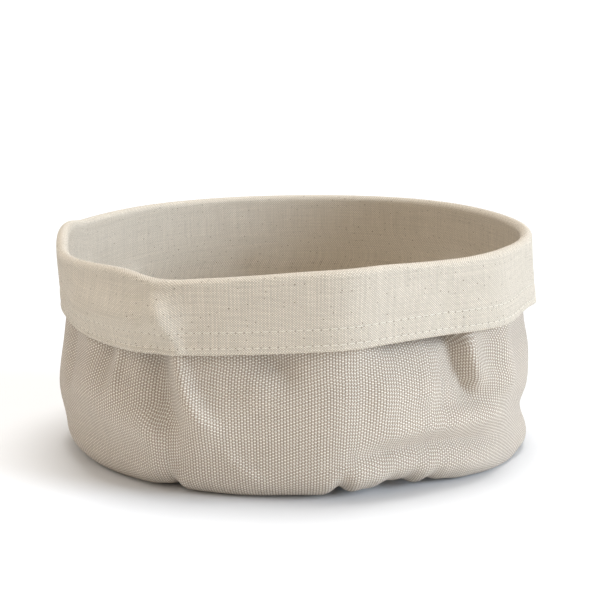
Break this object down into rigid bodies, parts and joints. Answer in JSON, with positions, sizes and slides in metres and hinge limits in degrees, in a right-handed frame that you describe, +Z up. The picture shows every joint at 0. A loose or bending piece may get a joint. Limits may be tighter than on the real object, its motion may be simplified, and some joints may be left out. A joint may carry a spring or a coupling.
{
  "type": "linen bread bag",
  "caption": "Round stand-up cloth bread bag: coarse canvas body with a fine cotton lining turned down over the rim as a stitched cuff.",
  "frame": {"origin": "centre of the round base, on its underside", "axes": "+Z up through the mouth, -Y towards the front that the picture shows, +X to the right of that front"},
  "size_m": [0.2395, 0.2404, 0.1111],
  "materials": {
    "canvas": "coarse plain-weave greige canvas, matt",
    "cotton": "fine unbleached cotton with dark seed flecks, matt"
  },
  "bodies": {
    "root": {"canvas_wall": "canvas", "canvas_base": "canvas", "cotton_lining": "cotton", "cotton_base": "cotton"}
  },
  "joints": []
}
